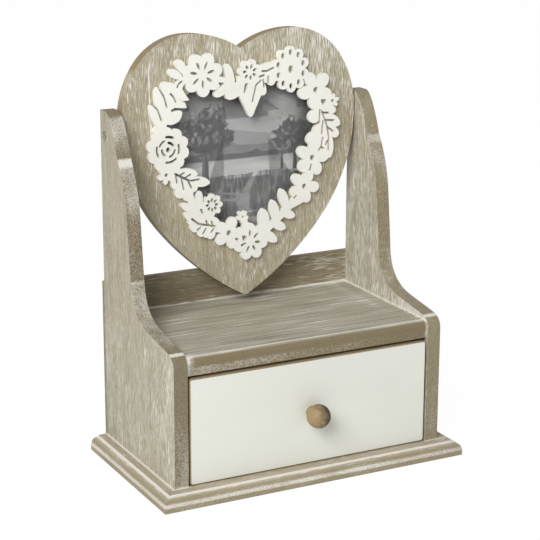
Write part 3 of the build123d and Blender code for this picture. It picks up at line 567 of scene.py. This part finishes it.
# Shelf: long crisp streaks from side to side, with lime left along the boards that it meets
shelf_wood = limed_wood(
    "limed_ash_shelf",
    grain="X",
    broad="Z",
    tones=("#5C5440", "#D6D0BE"),
    edge_tones=("#63583F", "#93866A"),
    amounts=(0.23, -0.1),
    washes=[
        # White lines along the nose and along the rail
        ("all", ("Y", [(shelf_front + 2.4, 0.0), (shelf_front + 3.2, 0.85), (shelf_front + 4.2, 0.85),
                       (shelf_front + 5.0, 0.0)])),
        ("all", ("Y", [(shelf_back - 2.2, 0.0), (shelf_back - 0.9, 0.9), (shelf_back, 0.9)])),
        # Left end of the nose
        ("all", ("X", [(-bay_half_width, 0.8), (-bay_half_width + 3, 0.6), (-bay_half_width + 9, 0.0)]),
         ("Y", [(shelf_front, 1.0), (shelf_front + 5, 1.0), (shelf_front + 8, 0.0)]),
         ("Z", [(shelf_bottom + 4, 0.0), (shelf_bottom + 7, 1.0), (shelf_top, 1.0)])),
        # Both ends, along the side panels
        ("all", ("X", [(-bay_half_width, 0.9), (-bay_half_width + 1.5, 0.4), (-bay_half_width + 3, 0.0),
                       (bay_half_width - 2.0, 0.0), (bay_half_width - 1.0, 0.5), (bay_half_width, 0.7)])),
        # Pale band a little in from the right panel, towards the back
        ("broad", ("X", [(bay_half_width - 22, 0.0), (bay_half_width - 12, 0.3),
                         (bay_half_width - 6, 0.0)]),
         ("Y", [(shelf_front + 20, 0.0), (shelf_front + 50, 1.0), (shelf_back, 1.0)])),
        # Lower half of the nose's face, palest on the left
        ("edge", ("Z", [(shelf_bottom, 1.0), (shelf_bottom + 4.5, 1.0), (shelf_bottom + 6.5, 0.0)]),
         ("X", [(-bay_half_width, 0.5), (-bay_half_width + 50, 0.3), (bay_half_width, 0.12)])),
    ],
    pore=1.0,
    length=55.0,
    full_at=1.25,
    speckle=[(shelf_bottom, 0.8), (shelf_bottom + 4, 0.8), (shelf_bottom + 6, 0.25), (shelf_top, 0.3)],
)

# Back panel: browner, with more lime and some painted light on the front of the rail that stands above the
# shelf
rail_front = ("Y", [(shelf_back, 1.0), (shelf_back + 1.5, 0.0)])
rail_wood = limed_wood(
    "limed_ash_back",
    grain="X",
    broad="Y",
    tones=("#584E38", "#AA9F86"),
    edge_tones=("#776C55", "#93876C"),
    amounts=(0.16, 0.15),
    washes=[
        # White line along the shelf
        ("all", ("Z", [(shelf_top - 1.0, 0.0), (shelf_top, 0.9), (shelf_top + 0.8, 0.5),
                       (shelf_top + 1.6, 0.0)]), rail_front),
        # Paler towards the right end: painted light where the rail is out of the heart's shadow, and lime
        # gathered at the right panel
        ("all", ("X", [(20.0, 0.0), (bay_half_width - 10, 0.25), (bay_half_width, 0.45)]),
         ("Z", [(shelf_top - 1.0, 0.0), (shelf_top, 1.0), (rail_top, 0.4)]), rail_front),
        # Faint band near the top
        ("all", ("Z", [(shelf_top + 14, 0.0), (shelf_top + 18, 0.12), (rail_top, 0.0)]), rail_front),
    ],
    pore=0.55,
    length=17.0,
)

# Plinth: a moulded board whose grain turns at mitred front corners
plinth_wood = limed_wood(
    "limed_ash_plinth",
    grain="X",
    broad="Z",
    tones=("#8E846B", "#C2B9A4"),
    edge_tones=("#7F745B", "#A69B80"),
    amounts=(0.26, 0.14),
    washes=[
        # White lines in the moulding: low on the quarter round and on the riser above it
        ("all", ("Z", [(0.0, 0.0), (3.0, 0.0), (3.7, 0.6), (5.3, 0.6), (6.4, 0.02), (8.5, 0.0),
                       (8.75, 1.2), (plinth_top - 0.3, 1.2), (plinth_top - 0.1, 0.0)])),
        # Strip of the upper face along the left panel
        ("broad", ("X", [(-panel_outside - 2.1, 0.0), (-panel_outside - 1.8, 1.3),
                         (-panel_outside + 0.5, 1.3), (-panel_outside + 7.5, 0.0)]),
         ("Y", [(panel_front - 1.5, 0.0), (panel_front - 0.5, 1.0), (panel_back, 1.0)])),
        # Strip of the upper face in front of both panels
        ("broad", ("Y", [(panel_front - 1.6, 0.0), (panel_front - 1.0, 0.9), (panel_front, 0.9),
                         (panel_front + 0.5, 0.0)]),
         ("X", [(-panel_outside - 1.5, 0.0), (-panel_outside - 1.0, 1.0), (-bay_half_width, 1.0),
                (-bay_half_width + 3, 0.0), (bay_half_width - 3, 0.0), (bay_half_width, 1.0),
                (panel_outside + 6.5, 1.0), (panel_outside + 9.5, 0.0)])),
    ],
    speckle=0.4,
    pore=0.6,
    length=10.0,
    mitre=plinth_half_width + plinth_front,  # |x| + y at the front corners
)

# Paint, bare wood, metal, glass, board and paper
drawer_paint = painted_wood("white_emulsion_drawer", "#E3E4DB", "#DFE0D7", face_only="Y")
wreath_paint = painted_wood("white_emulsion_wreath", "#F0EFE7", "#E8E6DD")
pine = ("#A98A5E", "#CDB183")
box_wood = bare_wood("planed_pine_drawer_sides", "Y", *pine)
cross_wood = bare_wood("planed_pine_cross_boards", "X", *pine)
dowel_wood = bare_wood("beech_dowels", "X", "#B08C60", "#CBA878")
# Knob: bare beech, its right side darkened by painted shade
knob_wood = bare_wood(
    "turned_beech_knob", "Y", "#857250", "#A8926D", roughness=0.55, ring=1.6, painted_shade_half_width=7.8
)
steel = zinc_steel()
glass = clear_glass()
hardboard = fibreboard()
paper = print_paper()


def stand_for(piece, node, body):
    """Puts a piece into the scene in a node's place."""
    scene.collection.objects.link(piece)
    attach(piece, body)
    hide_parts(node)


def eased(node, body, material, radius):
    """A copy of a board with its doubles merged, its flat triangles joined and its arrises eased.

    The eased arris is a bevel of the given width in millimetres on every edge sharper than 35
    degrees, and normals are weighted by face area, so that flats stay flat.
    """
    merge_within = 2e-6
    flat_within, sharp_from = math.radians(0.4), math.radians(35)
    mesh = frame["nodes"][node].data.copy()
    mesh.materials.clear()
    mesh.materials.append(material)
    shape = bmesh.new()
    shape.from_mesh(mesh)
    bmesh.ops.remove_doubles(shape, verts=shape.verts, dist=merge_within)
    bmesh.ops.dissolve_limit(shape, angle_limit=flat_within, verts=shape.verts, edges=shape.edges)
    for face in shape.faces:
        face.smooth = True
        face.material_index = 0
    shape.to_mesh(mesh)
    shape.free()
    if "custom_normal" in mesh.attributes:
        mesh.attributes.remove(mesh.attributes["custom_normal"])
    piece = bpy.data.objects.new(node + "_eased", mesh)
    bevel = piece.modifiers.new("arris", "BEVEL")
    bevel.width = radius * MM
    bevel.segments = 2
    bevel.limit_method = "ANGLE"
    bevel.angle_limit = sharp_from
    bevel.use_clamp_overlap = True
    bevel.miter_outer = "MITER_ARC"
    weighted = piece.modifiers.new("flats", "WEIGHTED_NORMAL")
    weighted.mode = "FACE_AREA"
    weighted.weight = 80
    stand_for(piece, node, body)


def mesh_piece(name, points, faces, node, body, material):
    """An object at the origin from points and faces, which stands for a node."""
    mesh = bpy.data.meshes.new(name)
    mesh.from_pydata(points, [], faces)
    mesh.materials.append(material)
    mesh.polygons.foreach_set("use_smooth", [True] * len(mesh.polygons))
    piece = bpy.data.objects.new(name, mesh)
    stand_for(piece, node, body)
    return piece


def rings(count, around):
    """Faces of a tube of rings of points, closed at each end by a fan to one added point.

    Ring k holds points k * around to (k + 1) * around - 1. The start's point comes after the
    rings, and the end's point last.
    """
    k, j = np.meshgrid(np.arange(count - 1), np.arange(around), indexing="ij")
    here, after = k * around, (j + 1) % around
    quads = np.stack([here + j, here + after, here + around + after, here + around + j], -1)
    turn = np.arange(around)
    beside = (turn + 1) % around
    last = (count - 1) * around
    start_point = np.full(around, count * around)
    start_fan = np.stack([start_point, beside, turn], -1)
    end_fan = np.stack([start_point + 1, last + turn, last + beside], -1)
    return quads.reshape(-1, 4).tolist() + start_fan.tolist() + end_fan.tolist()


def turned_knob():
    """A turned knob: a circle's arc and a short neck with a cove, carried round the knob's axis.

    The profile is a ball of the solid's radius from its pole to where the neck leaves it, then
    a neck that widens with the square of the way, out to a small foot on the drawer front.
    """
    low, high = (np.array(corner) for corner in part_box("drawer_knob"))
    radius = (high[2] - low[2]) / 2
    centre = (low + high) / 2
    neck, foot = 3.6 * MM, 4.0 * MM
    ball_steps, neck_steps, around = 46, 9, 72
    front, face = low[1], high[1]
    first_angle, last_angle = 0.02, math.pi - math.asin(neck / radius)
    angle = np.linspace(first_angle, last_angle, ball_steps)
    ball_r = radius * np.sin(angle)
    ball_y = front + radius - radius * np.cos(angle)
    share = np.linspace(0.0, 1.0, neck_steps + 1)[1:]
    neck_r = neck + (foot - neck) * share**2
    neck_y = ball_y[-1] + (face - ball_y[-1]) * share
    r = np.concatenate([ball_r, neck_r])
    y = np.concatenate([ball_y, neck_y])
    turn = np.linspace(0, 2 * np.pi, around, endpoint=False)
    grid = np.stack(
        [
            centre[0] + r[:, None] * np.cos(turn),
            np.repeat(y[:, None], around, 1),
            centre[2] + r[:, None] * np.sin(turn),
        ],
        -1,
    ).reshape(-1, 3)
    ends = [[centre[0], front, centre[2]], [centre[0], face, centre[2]]]
    points = np.vstack([grid, ends]).tolist()
    faces = rings(len(r), around)
    mesh_piece("turned_knob", points, faces, "drawer_knob", "drawer", knob_wood)


def smooth_step(low, high, value):
    """0 below low, 1 above high, and 3t^2 - 2t^3 between."""
    t = np.clip((value - low) / (high - low), 0.0, 1.0)
    return t * t * (3 - 2 * t)


def lattice(x, z, seed):
    """A fixed number from 0 to 1 for each whole point of a grid: the fraction of a large sine."""
    value = np.sin(x * 127.1 + z * 311.7 + seed * 74.7) * 43758.5453
    return value - np.floor(value)


def cloudy(x, z, size, seed, layers=4):
    """Layers of smoothed lattice numbers, each half as large and half as strong; 0 to 1."""
    total, weight = 0.0, 0.0
    for layer in range(layers):
        u, v = x / size * 2**layer, z / size * 2**layer
        i, j = np.floor(u), np.floor(v)
        a, b = smooth_step(0, 1, u - i), smooth_step(0, 1, v - j)
        low = lattice(i, j, seed + layer) * (1 - a) + lattice(i + 1, j, seed + layer) * a
        high = lattice(i, j + 1, seed + layer) * (1 - a) + lattice(i + 1, j + 1, seed + layer) * a
        total = total + 0.5**layer * (low * (1 - b) + high * b)
        weight += 0.5**layer
    return total / weight


def with_tree(tone, x, z, at, size, seed):
    """Adds a tree: a tapering trunk and a crown whose edge and leaves are cloudy, lit from the left.

    Its place is given by the crown's centre in x and z and by the height of the foot.
    """
    centre_x, centre_z, foot = at
    sway = 0.8 * (cloudy(z, z * 0, 9, seed) - 0.5)
    half_width = 0.09 * size * (1 + (centre_z - z) / 60)
    trunk = np.abs(x - centre_x - sway) < half_width
    tone = np.where(trunk & (z < centre_z) & (z > foot), 0.05 + 0.06 * (x < centre_x - 0.3), tone)
    away = np.hypot(x - centre_x, (z - centre_z) * 0.95) / size
    leaves = cloudy(x, z, 2.6, seed + 2, 2)
    clumps = cloudy(x, z, 0.42 * size, seed + 4, 3)
    edge = 0.85 + 0.9 * (cloudy(x, z, 0.6 * size, seed + 1, 3) - 0.5) + 0.5 * (leaves - 0.5)
    side = smooth_step(-1.0, 1.0, ((centre_x - x) + 0.8 * (z - centre_z)) / size)
    sunlit = smooth_step(0.45, 0.75, 0.6 * clumps + 0.4 * leaves)
    lit = 0.015 + 0.05 * leaves + 0.26 * (0.25 + side) * sunlit
    return np.where(away < edge, lit, tone)


def landscape_tone(x, z):
    """Grey values of a country view, x and z in millimetres from the heart's pivot.

    Each layer covers the ones behind it below a cloudy line, in its own tone: sky, hills, a lake,
    a meadow with a path, trees and a fence. The sum is darkened towards the top and the right.
    """
    # Sky, darker at the top, with clouds
    tone = 0.40 - 0.26 * smooth_step(-12, 26, z)
    tone = tone + 0.20 * smooth_step(0.45, 0.75, cloudy(x, 2.2 * z, 34, 1.0, 5))
    # Far hills, near hills and the dark trees on the shore
    far = -6 + 16 * (cloudy(x, z * 0, 42, 2.0) - 0.5)
    tone = np.where(z < far, 0.25 + 0.05 * cloudy(x, z, 8, 3.0), tone)
    hill = -13 + 14 * (cloudy(x + 20, z * 0, 30, 4.0) - 0.5)
    tone = np.where(z < hill, 0.14 + 0.08 * cloudy(x, z, 6, 5.0), tone)
    shore = -20 + 5 * (cloudy(x, z * 0, 7, 6.0) - 0.5)
    tone = np.where(z < shore, 0.05 + 0.05 * cloudy(x, z, 3, 7.0), tone)
    # Lake with the reflection of the shore
    ripples = cloudy(0.22 * x, 2.4 * z, 3.4, 8.0, 3)
    lake = 0.50 - 0.22 * smooth_step(-30, -23, z) * cloudy(x, z * 0, 9, 9.0) + 0.22 * (ripples - 0.5)
    tone = np.where(z < -24, lake, tone)
    # Meadow with blades of grass, and a winding path that widens to the front
    bank = -36 + 9 * (cloudy(x, z * 0, 50, 10.0) - 0.5) + 1.2 * (cloudy(x, z * 0, 1.6, 11.0) - 0.5)
    blades = cloudy(2.2 * x, 0.5 * z, 2.6, 12.0, 3)
    meadow = 0.13 + 0.24 * smooth_step(0.3, 0.8, blades) + 0.10 * smooth_step(-40, -72, z)
    tone = np.where(z < bank, meadow, tone)
    path = np.abs(x - 12 - 9 * np.sin((z + 36) / 13)) - (1.6 - 0.15 * (z + 36))
    worn_path_and_shade_border = (z < bank) & (path < 1.6 * (cloudy(x, z, 2, 13.0) - 0.5))
    tone = np.where(worn_path_and_shade_border, 0.50 + 0.16 * (cloudy(x, z, 1.6, 14.0) - 0.5), tone)
    # Two trees on the right and a large one on the left
    tone = with_tree(tone, x, z, (33.0, -12.0, -34.0), 9.0, 20.0)
    tone = with_tree(tone, x, z, (43.0, -8.0, -35.0), 12.0, 30.0)
    tone = with_tree(tone, x, z, (-25.0, -4.0, -42.0), 19.0, 40.0)
    # Fence on the left: two rails and its posts
    line = -46 - 0.10 * x
    rails = np.minimum(np.abs(z - line + 2.2), np.abs(z - line + 6.6)) < 0.7
    posts = (np.abs((x + 60) % 13 - 6.5) < 1.0) & (z < line + 0.8) & (z > line - 10.5)
    wood = 0.46 + 0.16 * (cloudy(x, z, 1.2, 50.0) - 0.5)
    tone = np.where((rails | posts) & (x < 3), wood, tone)
    # Shade near the top and the right of the aperture
    shade = 1 - 0.8 * np.maximum(smooth_step(14, 25, z), smooth_step(40, 54, x))
    darkest, palest = 0.012, 0.8
    return np.clip(tone * shade, darkest, palest)


def landscape_print():
    """The photo sheet: rings from the middle out to the sheet's own outline, front then back.

    A point is middle + share * (outline - middle). The outline is the front rim of the solid
    sheet, taken round its middle at even angles. The tone of the view goes on every point.
    """
    solid = frame["nodes"]["photo_print"].data
    rim = np.zeros(len(solid.vertices) * 3, np.float32)
    solid.vertices.foreach_get("co", rim)
    rim = rim.reshape(-1, 3).astype(float)
    pivot = np.array(heart_joint["pos_m"])
    c, s = math.cos(heart_lean), math.sin(heart_lean)
    # The solid's points about the pivot, with the lean taken out
    off = rim - pivot
    flat = np.stack([off[:, 0], c * off[:, 1] - s * off[:, 2], s * off[:, 1] + c * off[:, 2]], 1)
    front, back = flat[:, 1].min(), flat[:, 1].max()
    # The front rim as a reach from the middle, at even angles
    front_within = 2e-5
    edge = flat[np.abs(flat[:, 1] - front) < front_within][:, (0, 2)]
    middle = np.array([0.0, -18.0]) * MM
    turn = np.arctan2(edge[:, 1] - middle[1], edge[:, 0] - middle[0])
    reach = np.hypot(*(edge - middle).T)
    order = np.argsort(turn)
    around, front_rings = 460, 190
    even = np.linspace(-np.pi, np.pi, around, endpoint=False)
    outline = np.interp(even, turn[order], reach[order], period=2 * np.pi)
    # Rings of the front, rings of the back, and the middle of each
    front_shares, back_shares = np.linspace(0.004, 1.0, front_rings), [1.0, 0.5, 0.01]
    shares = np.concatenate([front_shares, back_shares])
    depth = np.concatenate([np.full(front_rings, front), np.full(len(back_shares), back)])
    x = middle[0] + shares[:, None] * outline * np.cos(even)
    z = middle[1] + shares[:, None] * outline * np.sin(even)
    y = np.repeat(depth[:, None], around, 1)
    x = np.append(x.ravel(), [middle[0]] * 2)
    z = np.append(z.ravel(), [middle[1]] * 2)
    y = np.append(y.ravel(), [front, back])
    points = np.stack([x, c * y + s * z, -s * y + c * z], 1) + pivot
    faces = rings(len(shares), around)
    piece = mesh_piece(
        "landscape_print", points.tolist(), faces, "photo_print", "heart", paper
    )
    tone = landscape_tone(x / MM, z / MM).astype(np.float32)
    piece.data.attributes.new("tone", "FLOAT", "POINT").data.foreach_set("value", tone)


# Boards: node, body, finish and the width of the eased arris in millimetres
eased("base_plinth", "stand", plinth_wood, 0.35)
eased("left_side_panel", "stand", panel_wood["left"], 1.0)
eased("right_side_panel", "stand", panel_wood["right"], 1.0)
eased("shelf", "stand", shelf_wood, 0.4)
eased("back_panel", "stand", rail_wood, 0.4)
eased("heart_frame", "heart", heart_wood, 0.7)
eased("drawer_front", "drawer", drawer_paint, 0.3)
for board in ("drawer_left_side", "drawer_right_side"):
    eased(board, "drawer", box_wood, 0.3)
for board in ("drawer_back", "drawer_bottom"):
    eased(board, "drawer", cross_wood, 0.3)
turned_knob()
landscape_print()

# Solids that keep their shape
for node, material in {
    "floral_wreath": wreath_paint,
    "glass_pane": glass,
    "backing_board": hardboard,
    "shelf_dowels": dowel_wood,
    "base_screws": steel,
    "back_panel_pins": steel,
    "drawer_pins": steel,
    "knob_screw": steel,
    "turn_button_screws": steel,
    "left_pivot_screw": steel,
    "right_pivot_screw": steel,
    "turn_button_top": steel,
    "turn_button_bottom": steel,
    "turn_button_left": steel,
    "turn_button_right": steel,
}.items():
    slots = frame["nodes"][node].data.materials
    slots.clear()
    slots.append(material)

# Camera at the photograph's place: a long lens, turned a hair about its axis
azimuth, elevation, roll = math.radians(-27.567), math.radians(15.638), math.radians(0.181)
focal_length, picture_width = 1722.29, 540  # in pixels of the photograph
aim = Vector((-5.672, -3.0, 129.551)) * MM
distance = 1.13222
back = Vector(
    (
        math.sin(azimuth) * math.cos(elevation),
        -math.cos(azimuth) * math.cos(elevation),
        math.sin(elevation),
    )
)
right = (-back).cross(Vector((0, 0, 1))).normalized()
up = right.cross(-back)
turned_right = math.cos(roll) * right + math.sin(roll) * up
turned_up = math.cos(roll) * up - math.sin(roll) * right
lens = bpy.data.cameras.new("studio_camera")
lens.sensor_width = 36.0
lens.lens = focal_length / picture_width * lens.sensor_width
camera = bpy.data.objects.new("studio_camera", lens)
scene.collection.objects.link(camera)
turned = Matrix((turned_right, turned_up, back)).transposed().to_4x4()
camera.matrix_world = Matrix.Translation(aim + back * distance) @ turned
scene.camera = camera


def lamp(name, place, aim, size, power):
    """A square soft box at a place, turned to face a point."""
    data = bpy.data.lights.new(name, "AREA")
    data.shape = "SQUARE"
    data.size = size
    data.energy = power
    made = bpy.data.objects.new(name, data)
    scene.collection.objects.link(made)
    made.location = place
    made.rotation_euler = (Vector(place) - Vector(aim)).to_track_quat("Z", "Y").to_euler()


object_middle = (0.0, 0.0, 0.13)
lamp("key_soft_box", (-1.35, -1.15, 1.3), object_middle, size=1.0, power=39.0)
lamp("fill_soft_box", (1.3, -1.5, 0.6), object_middle, size=1.2, power=1.5)


def seen_directly(tree):
    """1 for the camera's rays, for reflections and through glass, and 0 for light on a surface."""
    rays = add(tree, "ShaderNodeLightPath").outputs
    seen = rays["Is Camera Ray"]
    for kind in ("Is Glossy Ray", "Is Transmission Ray"):
        seen = add(tree, "ShaderNodeMath", {0: seen, 1: rays[kind]}, operation="MAXIMUM").outputs[0]
    return seen


# White surroundings: full white to the camera and in reflections, less as light on the object
lighting_strength, seen_strength = 0.32, 1.0
world = bpy.data.worlds.new("white_studio")
scene.world = world
world.use_nodes = True
sky = world.node_tree
sky.nodes.clear()
strength = add(
    sky,
    "ShaderNodeMapRange",
    {"Value": seen_directly(sky), "To Min": lighting_strength, "To Max": seen_strength},
)
light = add(sky, "ShaderNodeBackground", {"Color": (1, 1, 1, 1), "Strength": strength.outputs["Result"]})
add(sky, "ShaderNodeOutputWorld", {"Surface": light.outputs["Background"]})


def floor_sheet():
    """A wide pale sheet under the object: a square grid of points at the plinth's underside."""
    half, count = 6.0, 9
    steps = np.linspace(-half, half, count)
    u, v = np.meshgrid(steps, steps, indexing="ij")
    points = np.stack([u, v, np.zeros_like(u)], -1).reshape(-1, 3)
    k, j = np.meshgrid(np.arange(count - 1), np.arange(count - 1), indexing="ij")
    corner = (k * count + j).ravel()
    faces = np.stack([corner, corner + count, corner + count + 1, corner + 1], -1)
    mesh = bpy.data.meshes.new("floor_sheet")
    mesh.from_pydata(points.tolist(), [], faces.tolist())
    sheet = bpy.data.objects.new("floor_sheet", mesh)
    scene.collection.objects.link(sheet)
    # Pale backdrop paper: mostly its own white to the camera, with a soft share of the shadow
    material, tree, shader = new_material("backdrop_paper")
    shader.inputs["Base Color"].default_value = linear("#F2F2F0")
    shader.inputs["Roughness"].default_value = 0.9
    own_white, glow_strength = 0.94, 1.03
    share = add(tree, "ShaderNodeMath", {0: seen_directly(tree), 1: own_white}, operation="MULTIPLY")
    glow = add(tree, "ShaderNodeEmission", {"Color": (1, 1, 1, 1), "Strength": glow_strength})
    both = add(
        tree,
        "ShaderNodeMixShader",
        {0: share.outputs[0], 1: shader.outputs["BSDF"], 2: glow.outputs["Emission"]},
    )
    output = [n for n in tree.nodes if n.type == "OUTPUT_MATERIAL"][0]
    tree.links.new(both.outputs["Shader"], output.inputs["Surface"])
    mesh.materials.append(material)


floor_sheet()
scene.view_settings.view_transform = "Standard"

bpy.context.view_layer.update()
